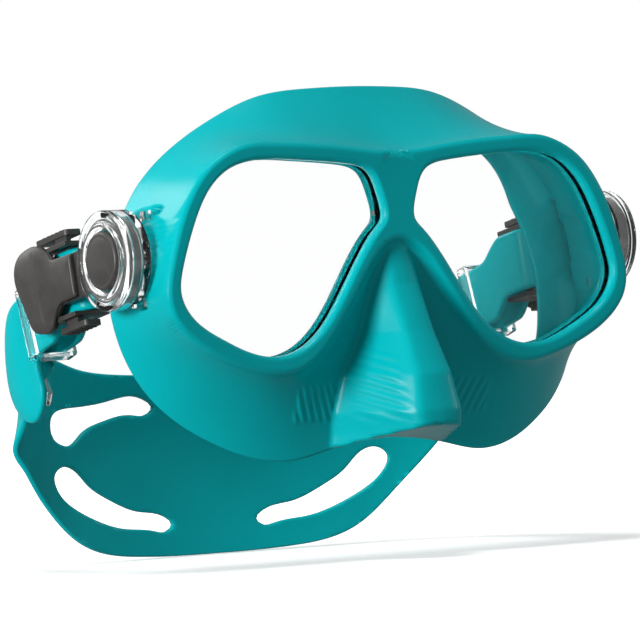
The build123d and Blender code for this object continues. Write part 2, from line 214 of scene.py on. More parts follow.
def soft_ramp(x, width):
    """max(0, x) with its corner rounded."""
    return 0.5 * (x + np.sqrt(x * x + width * width))


OPENING_LOOP = spline(OPENING, 14, True)
RIM_LOOP = spline(whole(RIM, RIM_TOP_Z, RIM_NOSE_Z), 10, True)
SEAL_LOOP = spline(whole(SEAL, SEAL_TOP_Z, SEAL_LOW_Z), 12, True)


# ---------------------------------------------------------------- skirt surface
def face_y(x, z):
    return FACE_BROW_Y + FACE_CURVE * x * x + FACE_LEAN * (z - FACE_BROW_Z)


def nose_y(x, z, to_seal):
    table = np.array(NOSE)[::-1]
    ridge = np.interp(z, table[:, 0], table[:, 1])
    half = np.interp(z, table[:, 0], table[:, 2])
    slope = np.interp(z, table[:, 0], table[:, 3])
    front = ridge + slope * soft_ramp(abs(x) - half, 1.0) + 0.012 * x * x
    under = face_y(x, z) - NOSE_UNDERSIDE * to_seal
    return -soft_min(-front, -under, 0.9)


def ribs(x, z):
    """Grip ribs on the nose's flanks and on the cheeks beside it."""
    a = abs(x)
    slant, pitch, nose_height = NOSE_RIB
    across = (z * math.cos(math.radians(slant)) + a * -math.sin(math.radians(slant))) / pitch
    nose = smoothstep(a, 7, 9) * (1 - smoothstep(a, 14, 16))
    nose = nose * smoothstep(-z, 22, 27) * (1 - smoothstep(-z, 42, 45))
    slant, pitch, cheek_height = CHEEK_RIB
    across_cheek = (a * math.cos(math.radians(slant)) - z * math.sin(math.radians(slant))) / pitch
    cheek = smoothstep(a, 17, 19) * (1 - smoothstep(a, 29, 31))
    cheek = cheek * smoothstep(-z, 32, 34) * (1 - smoothstep(-z, 41, 43))
    wave = 0.5 + 0.5 * np.cos(2 * math.pi * across)
    wave_cheek = 0.5 + 0.5 * np.cos(2 * math.pi * across_cheek)
    return nose_height * nose * wave + cheek_height * cheek * wave_cheek


def surface_y(x, z):
    """The skirt's front surface: the rim's band, the flaring walls and the nose pocket."""
    xz = np.stack([x, z], -1)
    inside_rim = -signed_distance(xz, RIM_LOOP)
    from_glass = np.maximum(signed_distance(xz, OPENING_LOOP), 0)
    to_seal = np.maximum(-signed_distance(xz, SEAL_LOOP), 0)
    inner_round = 0.9 * np.clip(1 - from_glass / 1.1, 0, 1) ** 2
    outer_round = (RIM_EDGE - RIM_CREST) * np.clip(1 - np.maximum(inside_rim, 0) / 1.3, 0, 1) ** 2
    band = RIM_CREST + inner_round + outer_round
    out = np.maximum(-inside_rim, 0)
    t = out / np.maximum(out + to_seal, 1e-6)
    wall = RIM_EDGE + (face_y(x, z) - RIM_EDGE) * t**FLARE
    wall = soft_min(wall, nose_y(x, z, to_seal), 1.6)
    wall = np.where(out > 0, wall, 99)
    return np.where(inside_rim >= 0, np.minimum(band, wall), wall)


def shape_ear(points):
    """The side wall swells to a round pad under the side bracket, with two slots for its hooks."""
    x, y, z = points[..., 0], points[..., 1], points[..., 2]
    r = np.hypot(y - SWIVEL_BEHIND_LENS, z - SWIVEL_ABOVE_LENS)
    on_side = smoothstep(x, 62, 66)
    pad = 1 - smoothstep(r, EAR_RADIUS, EAR_RADIUS + 3.0)
    x = x + on_side * pad * np.maximum(EAR_FACE - x, 0)
    for up in (HOOK_UP, -HOOK_UP):
        slot = 1 - smoothstep(abs(y - HOOK_Y), 1.3, 2.0)
        slot = slot * (1 - smoothstep(abs(z - SWIVEL_ABOVE_LENS - up), 1.2, 1.9))
        x = x - on_side * slot * HOOK_SLOT_DEPTH
    return np.stack([x, y, z], -1)


def fan_angles():
    """Directions from EYE, finer over the nose and the ear. The first ones end on the middle plane."""
    def toward(z):
        return math.atan2(z - EYE[1], -EYE[0]) % (2 * math.pi)

    stops = [toward(SEAL_TOP_Z), toward(RIM_TOP_Z), toward(RIM_NOSE_Z), toward(SEAL_LOW_Z)]
    stops += [math.radians(265), math.radians(335), math.radians(385), stops[0] + 2 * math.pi]
    counts = [16, 28, 120, 56, 56, 66, 84]
    angles = []
    for low, high, count in zip(stops, stops[1:], counts):
        angles += list(np.linspace(low, high, count, endpoint=False))
    return np.array(angles), 16 + 28 + 120


def ring_places(width, length):
    """Distances from the opening's edge to the outer boundary, closest over the rim's rounded edges."""
    rim = np.array([0, 0.12, 0.3, 0.55, 0.85, 1.2, 1.7])
    mid = 0.5 * width
    rim = np.minimum(rim, mid * np.linspace(0, 0.98, len(rim))) if width < 3.6 else rim
    band = np.concatenate([rim, [mid], (width - rim[::-1])])
    u = np.linspace(0, 1, 53)[1:]
    rest = width + (length - width) * (0.3 * u * u + 0.7 * u)
    natural = np.concatenate([band, rest])
    even = length * np.linspace(0, 1, len(natural))
    share = smoothstep(length - width, 0.0, 5.0)
    return share * natural + (1 - share) * even


def skirt_half():
    """Vertex grids of the right half, and which sections reach the seal."""
    angles, on_middle = fan_angles()
    to_opening = ray_hits(angles, OPENING_LOOP)
    to_rim = ray_hits(angles, RIM_LOOP)
    to_seal = ray_hits(angles, SEAL_LOOP)
    to_middle = np.where(np.cos(angles) < -1e-6, EYE[0] / np.maximum(-np.cos(angles), 1e-6), np.inf)
    reach = np.where(np.arange(len(angles)) <= on_middle, to_middle, to_seal)
    to_rim = np.minimum(to_rim, reach)
    reach = np.maximum(reach, to_rim)
    places = np.array([ring_places(w - o, b - o) for o, w, b in zip(to_opening, to_rim, reach)])
    radius = to_opening[:, None] + places
    x = EYE[0] + radius * np.cos(angles)[:, None]
    z = EYE[1] + radius * np.sin(angles)[:, None]
    x[: on_middle + 1, -1] = 0.0
    y = surface_y(x, z)
    seal_rays = np.arange(len(angles)) >= on_middle
    seal_rays[0] = True
    y[seal_rays, -1] = face_y(x[seal_rays, -1], z[seal_rays, -1])
    bare = np.stack([x, y, z], -1)
    normal = grid_normals(bare)
    normal[: on_middle + 1, -1, 0] = 0
    normal /= np.linalg.norm(normal, axis=2, keepdims=True)
    lift = np.where(signed_distance(bare[..., [0, 2]], RIM_LOOP) > 1.5, ribs(x, z), 0)
    front = bare + normal * lift[..., None]
    front[: on_middle + 1, -1, 0] = 0
    return angles, on_middle, seal_rays, shape_ear(front), bare, normal


def grid_normals(grid):
    along = np.gradient(grid, axis=1)
    around = np.roll(grid, -1, 0) - np.roll(grid, 1, 0)
    normal = np.cross(around, along)
    normal /= np.maximum(np.linalg.norm(normal, axis=2, keepdims=True), 1e-9)
    flip = np.where(normal[:, 30:, 1].mean() > 0, -1, 1)
    normal = normal * flip
    for _ in range(6):
        normal[:, 1:-1] = (normal[:, :-2] + 2 * normal[:, 1:-1] + normal[:, 2:]) / 4
        normal = (np.roll(normal, 1, 0) + 2 * normal + np.roll(normal, -1, 0)) / 4
        normal /= np.maximum(np.linalg.norm(normal, axis=2, keepdims=True), 1e-9)
    return normal


def resample(points, count):
    step = np.r_[0, np.cumsum(np.linalg.norm(np.diff(points, axis=0), axis=1))]
    where = np.linspace(0, step[-1], count)
    return np.stack([np.interp(where, step, points[:, k]) for k in range(3)], -1)


def build_skirt():
    angles, on_middle, seal_rays, front, bare, normal = skirt_half()
    rays = len(angles)
    opening = bare[:, 0][:, [0, 2]]
    away = np.stack([np.cos(angles), np.sin(angles)], -1)

    # the edge of the glass: a groove that holds the lens
    def edge_ring(out, y):
        place = opening + away * out
        return np.stack([place[:, 0], np.full(rays, y), place[:, 1]], -1)

    first = edge_ring(0, GLASS_FRONT)
    front = np.concatenate([first[:, None], edge_ring(0, -1.9)[:, None], front], 1)

    # the seal's double lip
    edge = bare[:, -1]
    around = np.roll(edge, -1, 0) - np.roll(edge, 1, 0)
    inward = np.stack([-around[:, 2], around[:, 0]], -1)
    inward /= np.linalg.norm(inward, axis=1, keepdims=True)
    inward[0] = (0, -1)
    inward[on_middle] = (0, 1)
    toward_eye = np.array(EYE) * (0.4, 1) - edge[:, [0, 2]]
    inward *= np.where((inward * toward_eye).sum(1) < 0, -1, 1)[:, None]
    narrow = 1 - 0.5 * (1 - smoothstep(abs(edge[:, 0]), 8, 24)) * (edge[:, 2] < 0)
    narrow = narrow * (1 - 0.3 * smoothstep(edge[:, 2], 18, 36))
    lip = []
    for place, back in LIP + [LIP_ROOT]:
        scale = narrow if place > LIP_FULL_PLACE else np.ones(rays)
        xz = edge[:, [0, 2]] + inward * (place * scale)[:, None]
        clear = LIP_CLEAR_BACK if len(lip) < LIP_TIP else LIP_CLEAR_FRONT
        behind = surface_y(xz[:, 0], xz[:, 1]) + clear * min(place, LIP_FULL_PLACE) / LIP_FULL_PLACE
        lip.append(np.stack([xz[:, 0], np.maximum(edge[:, 1] + back, behind), xz[:, 1]], -1))
    lip = np.stack(lip, 1)
    lip[0, :, 0] = 0
    lip[on_middle, :, 0] = 0
    lip = shape_ear(lip)
    lip = np.concatenate([front[:, -1:], lip], 1)

    # the inner skin, a wall's thickness behind the front one
    beyond = np.maximum(signed_distance(bare[..., [0, 2]], RIM_LOOP), 0)
    offset = bare - normal * WALL
    offset[..., 1] = np.maximum(offset[..., 1], SKIRT_BACK_OF_RIM - 2.5 * beyond)
    from_ear = np.hypot(offset[..., 1] - SWIVEL_BEHIND_LENS, offset[..., 2] - SWIVEL_ABOVE_LENS)
    offset[..., 0] -= (1 - smoothstep(from_ear, 13, 18)) * np.maximum(offset[..., 0] - HOOK_INSIDE, 0)
    inner = []
    band = 15
    for i in range(rays):
        outer_part = offset[i, band:][::-1]
        if seal_rays[i]:
            root = lip[i, -1]
            gap = np.linalg.norm(outer_part - root, axis=1)
            keep = np.arange(len(gap)) > gap.argmin()
            keep &= gap > 2.0
            outer_part = np.concatenate([root[None], outer_part[keep]])
        rim_back = np.array([
            [opening[i, 0] + away[i, 0] * 1.0, SKIRT_BACK_OF_RIM, opening[i, 1] + away[i, 1] * 1.0],
            [opening[i, 0] + away[i, 0] * 0.25, SKIRT_BACK_OF_RIM - 0.25, opening[i, 1] + away[i, 1] * 0.25],
        ])
        profile = np.concatenate([outer_part, rim_back])
        profile[:, 0] = np.maximum(profile[:, 0], 0)
        inner.append(resample(profile, 34))
    inner = np.array(inner)
    inner[: on_middle + 1, 0, 0] = 0
    closing = [edge_ring(0, 4.2), edge_ring(0, GLASS_BACK), edge_ring(GROOVE, GLASS_BACK)]
    closing += [edge_ring(GROOVE, GLASS_FRONT), first]
    inner = np.concatenate([inner] + [ring[:, None] for ring in closing], 1)

    vertices, faces = [], []

    def add_grid(grid, wrap, used=None):
        start = sum(len(v) for v in vertices)
        n, m = grid.shape[:2]
        vertices.append(grid.reshape(-1, 3))
        for i in range(n if wrap else n - 1):
            k = (i + 1) % n
            if used is not None and not (used[i] and used[k]):
                continue
            for j in range(m - 1):
                a, b, c, d = i * m + j, k * m + j, k * m + j + 1, i * m + j + 1
                faces.append([start + a, start + b, start + c, start + d])

    add_grid(front, True)
    add_grid(lip, True, seal_rays)
    add_grid(inner, True)
    half = np.concatenate(vertices)
    both = np.concatenate([half, half * (-1, 1, 1)])
    other = [[index + len(half) for index in reversed(face)] for face in faces]
    return mesh_object("skirt_silicone", both, faces + other, weld=2e-6)


# ---------------------------------------------------------------- mesh helpers
def to_frame(points):
    """Millimetres from the lens plane to metres in the frame."""
    p = np.array(points, float)
    return (p - (0, SWIVEL_BEHIND_LENS, SWIVEL_ABOVE_LENS)) * MM


def mesh_object(name, points, faces, weld=0.0, smooth=True, in_frame=False):
    mesh = bpy.data.meshes.new(name)
    placed = np.array(points, float) * MM if in_frame else to_frame(points)
    mesh.from_pydata(placed.tolist(), [], faces)
    bm = bmesh.new()
    bm.from_mesh(mesh)
    if weld:
        bmesh.ops.remove_doubles(bm, verts=bm.verts, dist=weld)
        bmesh.ops.dissolve_degenerate(bm, dist=weld, edges=bm.edges)
    bmesh.ops.recalc_face_normals(bm, faces=bm.faces)
    bm.to_mesh(mesh)
    bm.free()
    piece = bpy.data.objects.new(name, mesh)
    bpy.context.scene.collection.objects.link(piece)
    if smooth:
        for polygon in mesh.polygons:
            polygon.use_smooth = True
    return piece


# ---------------------------------------------------------------- strap
BUCKLE_DROOP = math.radians(10.5)  # how far the buckles hang below level
STRAP_DROOP = math.radians(18)
SAG_FROM, SAG_TO = 31.0, 41.0
ROLLER_U = 25.0
ROLLER_OUT = 70.5
WRAP_RADIUS = 3.8
STRAP_HALF = 8.3
STRAP_THICK = 1.8
EDGE_ROUND = 0.35
LEAF_ROOT = 53.0
# Arm from the buckle's straight run to the middle of the back panel: (out, back, up, half width, lean)
ARM = [
    (69.9, 72.3, -22.5, 8.6, 42), (68.4, 79.3, -31.0, 9.2, 42), (62.8, 84.9, -38.0, 14.0, 22),
    (54.0, 89.3, -43.5, 20.5, 6), (45.0, 91.5, -49.3, 23.4, 2), (25.0, 94.5, -53.2, 24.8, 0),
    (0.0, 96.0, -54.0, 24.6, 0),
]
LEAF = [
    (50.0, 8.3), (54.5, 8.2), (58.5, 6.8), (62.5, 2), (65.5, -6), (66.3, -14), (63, -21.5), (57.5, -24.5),
    (52.5, -22), (50.2, -16.5), (50.6, -12.2), (49.5, -9.0), (46.0, -8.3),
]
SLOTS = [
    [(18.3, -37.6), (20, -35.8), (33, -35.0), (46, -36.3), (54.5, -38.8), (54.7, -43), (51, -46),
     (47.5, -46.4), (43.5, -43.6), (35, -40.4), (26, -39.2), (20, -39.2)],
    [(13.6, -69.8), (15.2, -68), (24.4, -65.8), (34.5, -61.9), (41.8, -57.4), (46, -53.4), (52, -52.4),
     (54.2, -54.6), (53, -58.5), (47, -63.6), (40, -67), (30, -70), (20, -71.2), (15, -71.4)],
]


def drooped(out, back, up, sag_at=0.0):
    """A point given along the hanging buckle or, behind it, along the sagging strap, in the frame."""
    a = BUCKLE_DROOP + (STRAP_DROOP - BUCKLE_DROOP) * smoothstep(sag_at, SAG_FROM, SAG_TO)
    return np.array([out, back * math.cos(a) + up * math.sin(a), up * math.cos(a) - back * math.sin(a)])


def strap_stations():
    """Middle, width direction, outward direction and half width along the strap, from its tail."""
    stations = []
    for u in np.arange(68.0, ROLLER_U, -1.0):
        middle = drooped(ROLLER_OUT + WRAP_RADIUS, u, 0, u)
        stations.append((middle, drooped(0, 0, 1, u), np.array([1.0, 0, 0]), STRAP_HALF))
    for turn in np.linspace(0, math.pi, 13):
        out, back = math.cos(turn), -math.sin(turn)
        middle = drooped(ROLLER_OUT + WRAP_RADIUS * out, ROLLER_U + WRAP_RADIUS * back, 0)
        stations.append((middle, drooped(0, 0, 1), drooped(out, back, 0), STRAP_HALF))
    for u in np.arange(ROLLER_U + 1.0, 54.5, 1.0):
        middle = drooped(ROLLER_OUT - WRAP_RADIUS, u, 0, u)
        stations.append((middle, drooped(0, 0, 1, u), np.array([-1.0, 0, 0]), STRAP_HALF))
    first = [*drooped(ROLLER_OUT - WRAP_RADIUS, 51, 0, 51), STRAP_HALF, 18]
    second = [*drooped(ROLLER_OUT - WRAP_RADIUS, 54.5, 0, 54), STRAP_HALF, 20]
    rest = [(t, y - SWIVEL_BEHIND_LENS, z - SWIVEL_ABOVE_LENS, h, lean) for t, y, z, h, lean in ARM]
    mirrored = [(-t, y, z, h, lean) for t, y, z, h, lean in rest[-2:-3:-1]]
    path = spline([first, second, *rest, *mirrored], 14, False)[14:-14]
    heading = np.gradient(path[:, :2], axis=0)
    heading /= np.linalg.norm(heading, axis=1, keepdims=True)
    heading[-1] = (-1, 0)
    path[-1, 0] = 0
    for (t, y, z, half, lean), (dx, dy) in zip(path, heading):
        tilt = math.radians(lean)
        width = np.array([math.sin(tilt) * dx, math.sin(tilt) * dy, math.cos(tilt)])
        stations.append((np.array([t, y, z]), width, np.array([-dy, dx, 0]), half))
    return stations


def strap_chart():
    """The strap laid flat: its length, the places across it, and how far each lies outside the outline."""
    stations = strap_stations()
    middle = np.array([s[0] for s in stations])
    width = np.array([s[1] for s in stations])
    out = np.array([s[2] for s in stations])
    half = np.array([s[3] for s in stations])
    along = np.r_[0, np.cumsum(np.linalg.norm(np.diff(middle, axis=0), axis=1))]
    across = np.arange(-26.0, 26.5, 0.9)
    depth = abs(across)[None] - half[:, None]
    tail = int(68 - ROLLER_U)
    outline = spline(LEAF, 8, False)
    outline = np.concatenate([[(ROLLER_U - 30, STRAP_HALF)], outline, [(ROLLER_U - 30, -STRAP_HALF)]])
    back = 68.0 - np.arange(tail)
    flat = np.stack(np.meshgrid(back, across, indexing="ij"), -1)
    depth[:tail] = signed_distance(flat, outline)
    places = middle[:, None] + width[:, None] * across[None, :, None]
    seen = np.stack([places[..., 0], places[..., 2] + SWIVEL_ABOVE_LENS], -1)
    for slot in SLOTS:
        hole = signed_distance(seen, spline(slot, 8, True))
        depth[tail + 60:] = np.maximum(depth[tail + 60:], -hole[tail + 60:])
    return along, across, depth, (middle, width, out)


def cut_flat(along, across, depth, snap=0.32):
    """Faces of the chart's part with a depth below zero, with its outline kept on the true edge."""
    slope_s, slope_w = np.gradient(depth, along, across)
    size = np.maximum(np.hypot(slope_s, slope_w), 0.3)
    place = np.stack(np.meshgrid(along, across, indexing="ij"), -1)
    shift = np.where(abs(depth) < snap, depth / size**2, 0)
    place = place - np.stack([slope_s, slope_w], -1) * shift[..., None]
    place[0, :, 0], place[-1, :, 0] = along[0], along[-1]
    value = np.where(abs(depth) < snap, 0.0, depth)
    outward = np.stack([slope_s, slope_w], -1) / size[..., None]
    points, sides, index = [], [], {}

    def add(point, side):
        points.append(point)
        sides.append(side)
        return len(points) - 1

    def corner(i, j):
        if (i, j) not in index:
            index[(i, j)] = add(place[i, j], outward[i, j])
        return index[(i, j)]

    def crossing(a, b):
        key = (min(a, b), max(a, b))
        if key not in index:
            f = value[a] / (value[a] - value[b])
            index[key] = add(place[a] * (1 - f) + place[b] * f, outward[a] * (1 - f) + outward[b] * f)
        return index[key]

    faces = []
    for i in range(len(along) - 1):
        for j in range(len(across) - 1):
            ring = [(i, j), (i + 1, j), (i + 1, j + 1), (i, j + 1)]
            values = [value[c] for c in ring]
            if min(values) >= 0:
                continue
            face = []
            for a, b in zip(ring, ring[1:] + ring[:1]):
                if value[a] <= 0:
                    face.append(corner(*a))
                if value[a] * value[b] < 0:
                    face.append(crossing(a, b))
            if len(face) > 2:
                faces.append(face)
    return np.array(points), np.array(sides), faces


def build_strap():
    along, across, depth, (middle, width, out) = strap_chart()
    points, sides, faces = cut_flat(along, across, depth)

    def lay(flat, height):
        s = np.clip(flat[:, 0], along[0], along[-1])
        m, w, n = (
            np.stack([np.interp(s, along, v[:, k]) for k in range(3)], -1) for v in (middle, width, out)
        )
        n /= np.linalg.norm(n, axis=1, keepdims=True)
        return m + w * flat[:, 1:2] + n * np.broadcast_to(height, s.shape)[:, None]

    count = {}
    for face in faces:
        for a, b in zip(face, face[1:] + face[:1]):
            count[(a, b)] = count.get((a, b), 0) + 1
    edges = [(a, b) for (a, b) in count if (b, a) not in count]
    end = along[-1] - 1e-6
    edges = [(a, b) for a, b in edges if not (points[a, 0] > end and points[b, 0] > end)]
    on_edge = sorted({v for edge in edges for v in edge})
    ring = {v: k for k, v in enumerate(on_edge)}
    flat = points.copy()
    inward = sides[on_edge] * EDGE_ROUND
    inward[points[on_edge, 0] > end, 0] = 0
    flat[on_edge] -= inward
    leaf = np.clip((68 - LEAF_ROOT - flat[:, 0]) / 6, 0, 1)
    rows = chart_rows(depth, along, flat[:, 0])
    inside = np.array([np.interp(p[1], across, d) for p, d in zip(flat, rows)])
    swell = 1.1 * leaf * (1 - np.exp(np.minimum(inside, 0) / 3.5))
    wall = STRAP_THICK / 2
    top = lay(flat, wall + swell)
    low = lay(flat, -wall)
    rim_top = lay(points[on_edge], wall - EDGE_ROUND)
    rim_low = lay(points[on_edge], EDGE_ROUND - wall)
    n, k = len(points), len(on_edge)
    solid = faces + [[v + n for v in reversed(face)] for face in faces]
    for a, b in edges:
        ra, rb = 2 * n + ring[a], 2 * n + ring[b]
        solid.append([b, a, ra, rb])
        solid.append([rb, ra, ra + k, rb + k])
        solid.append([rb + k, ra + k, a + n, b + n])
    half = np.concatenate([top, low, rim_top, rim_low])
    both = np.concatenate([half, half * (-1, 1, 1)])
    other = [[v + len(half) for v in reversed(face)] for face in solid]
    return mesh_object("head_strap", both, solid + other, weld=1e-5, in_frame=True)


def chart_rows(table, along, places):
    """Rows of the chart, interpolated at each place along it."""
    low = np.clip(np.searchsorted(along, places) - 1, 0, len(along) - 2)
    f = np.clip((places - along[low]) / (along[low + 1] - along[low]), 0, 1)[:, None]
    return table[low] * (1 - f) + table[low + 1] * f


# ---------------------------------------------------------------- hard pieces
def softened(node, name, width, segments=3, reach=1.0):
    """A copy of a CAD piece with its sharp edges rounded, no further out than reach in metres."""
    bm = bmesh.new()
    bm.from_mesh(frame["nodes"][node].data)
    for vertex in bm.verts:
        vertex.co.x = max(-reach, min(reach, vertex.co.x))
    bmesh.ops.remove_doubles(bm, verts=bm.verts, dist=2e-6)
    bmesh.ops.dissolve_limit(bm, angle_limit=math.radians(3), verts=bm.verts, edges=bm.edges)
    sharp = [e for e in bm.edges if e.is_manifold and e.calc_face_angle(0) > math.radians(32)]
    bmesh.ops.bevel(
        bm, geom=sharp, offset=width * MM, segments=segments, profile=0.5, affect="EDGES", clamp_overlap=True
    )
    mesh = bpy.data.meshes.new(name)
    bm.to_mesh(mesh)
    bm.free()
    for polygon in mesh.polygons:
        polygon.use_smooth = True
    piece = bpy.data.objects.new(name, mesh)
    bpy.context.scene.collection.objects.link(piece)
    bpy.context.view_layer.objects.active = piece
    weighted = piece.modifiers.new("even shading", "WEIGHTED_NORMAL")
    weighted.keep_sharp = True
    return piece


def lathe(name, profile, side, steps=128):
    """A solid of revolution about the swivel axis, from (out, radius) points."""
    count = len(profile)
    points, faces = [], []
    for k in range(steps):
        a = 2 * math.pi * k / steps
        points += [(side * out, r * math.cos(a), r * math.sin(a)) for out, r in profile]
        for j in range(count):
            n, m = (k + 1) % steps, (j + 1) % count
            faces.append([k * count + j, n * count + j, n * count + m, k * count + m])
    return mesh_object(name, points, faces, weld=1e-6, in_frame=True)


# The buckle's hammerhead plate, level: (back from the swivel, up)
PLATE = [
    (22, 5.8), (26.9, 6.4), (30, 9.4), (33, 11.2), (38, 11.4), (43, 10.2), (45.6, 7.6), (46.1, 4.0),
    (44.7, -0.2), (42.5, -5.5), (40, -10), (37, -11.4), (31, -11.4), (28.6, -8.5), (25.4, -5.8), (22, -5.6),
]
PLATE_UNDER = 78.2
BUCKLE_FRAME_REACH = 0.0786  # in metres: the cover stands on the frame from here
PLATE_EDGE = 79.4
PLATE_DOME = 1.35
PLATE_STEP_U = 33.5
PLATE_GROOVE = 0.22


def buckle_cover(name, side):
    """The domed hammerhead plate, higher at its rear than over the neck."""
    along = np.arange(17.0, 48.0, 0.5)
    across = np.arange(-13.0, 13.2, 0.5)
    grid = np.stack(np.meshgrid(along, across, indexing="ij"), -1)
    outline = np.concatenate([[(16.0, 5.6)], spline(PLATE, 8, False), [(16.0, -5.5)]])
    depth = signed_distance(grid, outline)
    points, _, faces = cut_flat(along, across, depth, 0.16)
    inside = np.maximum(-signed_distance(points, outline), 0)
    rise = smoothstep(points[:, 0], PLATE_STEP_U - 6, PLATE_STEP_U + 2)
    dome = PLATE_DOME * (1 - np.exp(-inside / 2.2)) * (0.45 + 0.55 * rise)
    groove = PLATE_GROOVE * np.exp(-((points[:, 0] - 0.1 * points[:, 1] - PLATE_STEP_U) / 0.5) ** 2)
    groove = groove * smoothstep(inside, 1, 3)
    top = PLATE_EDGE + dome - groove
    n = len(points)

    def lay(out):
        placed = [drooped(o, u, w) for o, (u, w) in zip(np.broadcast_to(out, n), points)]
        return np.array(placed) * (side, 1, 1)

    count = {(a, b) for face in faces for a, b in zip(face, face[1:] + face[:1])}
    solid = faces + [[v + n for v in reversed(face)] for face in faces]
    solid += [[b, a, a + n, b + n] for a, b in count if (b, a) not in count]
    return mesh_object(name, np.concatenate([lay(top), lay(PLATE_UNDER)]), solid, in_frame=True)


# Turned profiles about the swivel axis: (out, radius)
RING_PROFILE = [
    (78.25, 8.6), (78.22, 9.2), (78.22, 12.4), (78.35, 12.8), (78.65, 13.0), (79.5, 13.0), (79.95, 12.8),
    (80.2, 12.35), (80.2, 11.6), (80.0, 11.2), (79.75, 10.9), (79.7, 10.4), (79.85, 10.0), (80.3, 9.75),
    (80.55, 9.4), (80.6, 9.0), (80.45, 8.65), (80.15, 8.5), (79.6, 8.45), (78.8, 8.48),
]
CAP_PROFILE = [
    (78.84, 0.0), (78.84, 3.3), (78.84, 7.3), (79.0, 7.45), (80.2, 7.5), (80.55, 7.4), (80.8, 7.1),
    (80.88, 6.7), (80.82, 6.45), (80.82, 6.25), (80.9, 6.0), (81.0, 4.0), (81.06, 2.0), (81.08, 0.0),
]


# ---------------------------------------------------------------- materials
def material(name, **values):
    made = bpy.data.materials.new(name)
    made.use_nodes = True
    shader = made.node_tree.nodes["Principled BSDF"]
    for key, value in values.items():
        shader.inputs[key.replace("_", " ")].default_value = value
    return made, made.node_tree, shader


def noise(tree, scale, detail=3.0):
    coordinates = tree.nodes.new("ShaderNodeTexCoord")
    texture = tree.nodes.new("ShaderNodeTexNoise")
    texture.inputs["Scale"].default_value = scale
    texture.inputs["Detail"].default_value = detail
    tree.links.new(coordinates.outputs["Object"], texture.inputs["Vector"])
    return texture.outputs["Fac"]


def ramp(tree, source, low, high, low_value, high_value):
    """Maps a value to a colour or a grey between two stops."""
    node = tree.nodes.new("ShaderNodeValToRGB")
    node.color_ramp.elements[0].position = low
    node.color_ramp.elements[1].position = high
    node.color_ramp.elements[0].color = low_value
    node.color_ramp.elements[1].color = high_value
    tree.links.new(source, node.inputs["Fac"])
    return node.outputs["Color"]


def grey(value):
    return (value, value, value, 1)


def bump(tree, shader, height, strength, distance):
    node = tree.nodes.new("ShaderNodeBump")
    node.inputs["Strength"].default_value = strength
    node.inputs["Distance"].default_value = distance
    tree.links.new(height, node.inputs["Height"])
    tree.links.new(node.outputs["Normal"], shader.inputs["Normal"])


def silicone():
    made, tree, shader = material(
        "silicone_teal", Subsurface_Weight=0.12, Subsurface_Scale=0.003,
        Specular_IOR_Level=0.15, IOR=1.41,
    )
    shader.inputs["Subsurface Radius"].default_value = (0.15, 1.0, 1.0)
    cloud = noise(tree, 28.0)
    teal = ramp(tree, cloud, 0.3, 0.7, (0.0, 0.37, 0.4, 1), (0.0, 0.41, 0.44, 1))
    tree.links.new(teal, shader.inputs["Base Color"])
    tree.links.new(ramp(tree, cloud, 0.3, 0.7, grey(0.22), grey(0.3)), shader.inputs["Roughness"])
    bump(tree, shader, noise(tree, 2600.0, 2.0), 0.12, 0.0001)
    return made


def clear_plastic():
    made, tree, shader = material(
        "clear_plastic", Transmission_Weight=1.0, IOR=1.49, Base_Color=(0.97, 0.985, 0.985, 1)
    )
    haze = ramp(tree, noise(tree, 90.0), 0.3, 0.7, grey(0.015), grey(0.06))
    tree.links.new(haze, shader.inputs["Roughness"])
    bump(tree, shader, noise(tree, 240.0, 2.0), 0.05, 0.0002)
    return made


def glass():
    made, tree, shader = material(
        "lens_glass", Transmission_Weight=1.0, IOR=1.2, Base_Color=(0.99, 1.0, 0.995, 1)
    )
    haze = ramp(tree, noise(tree, 60.0), 0.3, 0.7, grey(0.0), grey(0.015))
    tree.links.new(haze, shader.inputs["Roughness"])
    return made


def dark_plastic():
    made, tree, shader = material("dark_plastic", Specular_IOR_Level=0.5)
    cloud = noise(tree, 180.0)
    charcoal = ramp(tree, cloud, 0.3, 0.7, (0.032, 0.031, 0.029, 1), (0.045, 0.043, 0.04, 1))
    tree.links.new(charcoal, shader.inputs["Base Color"])
    tree.links.new(ramp(tree, cloud, 0.3, 0.7, grey(0.38), grey(0.5)), shader.inputs["Roughness"])
    bump(tree, shader, noise(tree, 3200.0, 2.0), 0.25, 0.0001)
    return made


def steel():
    made, tree, shader = material("steel", Metallic=1.0, Base_Color=(0.6, 0.6, 0.58, 1))
    haze = ramp(tree, noise(tree, 400.0), 0.3, 0.7, grey(0.22), grey(0.36))
    tree.links.new(haze, shader.inputs["Roughness"])
    return made


# ---------------------------------------------------------------- camera, light, floor
CAMERA_DISTANCE = 1510.2
AZIMUTH, ELEVATION, ROLL = math.radians(-34), math.radians(-0.5), math.radians(-2.9)
AIM_RIGHT, AIM_UP = -19.6, -16.9
SENSOR_WIDTH = 36
FOCAL = 9.0375 * SENSOR_WIDTH
AMBIENT = 0.27
# Lights, in metres and watts: (name, place, size, energy)
LIGHTS = [
    ("key", (-1.45, -0.3, 0.22), 0.55, 24), ("top", (-0.2, -0.1, 1.5), 0.5, 12),
    ("back", (-0.5, 1.2, 0.6), 0.6, 5), ("edge", (1.3, -0.7, 0.3), 0.2, 1.6),
]
FLOOR_RADIUS = 3
FLOOR_SIDES = 96
FLOOR_GAP = 0.0003


